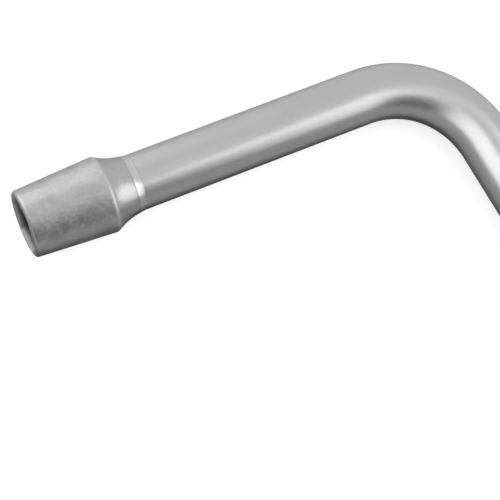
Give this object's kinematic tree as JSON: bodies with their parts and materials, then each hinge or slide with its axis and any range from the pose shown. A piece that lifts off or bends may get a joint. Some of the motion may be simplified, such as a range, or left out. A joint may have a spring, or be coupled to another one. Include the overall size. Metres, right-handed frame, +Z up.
{
  "type": "lug wrench",
  "caption": "L-shaped wheel-nut wrench: a hexagonal socket head welded to a bent round steel bar whose far end is flattened into a pry tip.",
  "frame": {"origin": "on the ground under the middle of the wrench's bounding box, with the wrench lying on its side", "axes": "+X along the long arm towards the pry tip, -Y towards the socket, +Z up from the ground"},
  "size_m": [0.3945, 0.1718, 0.0273],
  "materials": {
    "satin_plated_steel": "satin",
    "dressed_weld": "satin"
  },
  "bodies": {
    "root": {"socket_head": "satin_plated_steel", "weld_ring": "dressed_weld", "shaft": "satin_plated_steel"}
  },
  "joints": []
}
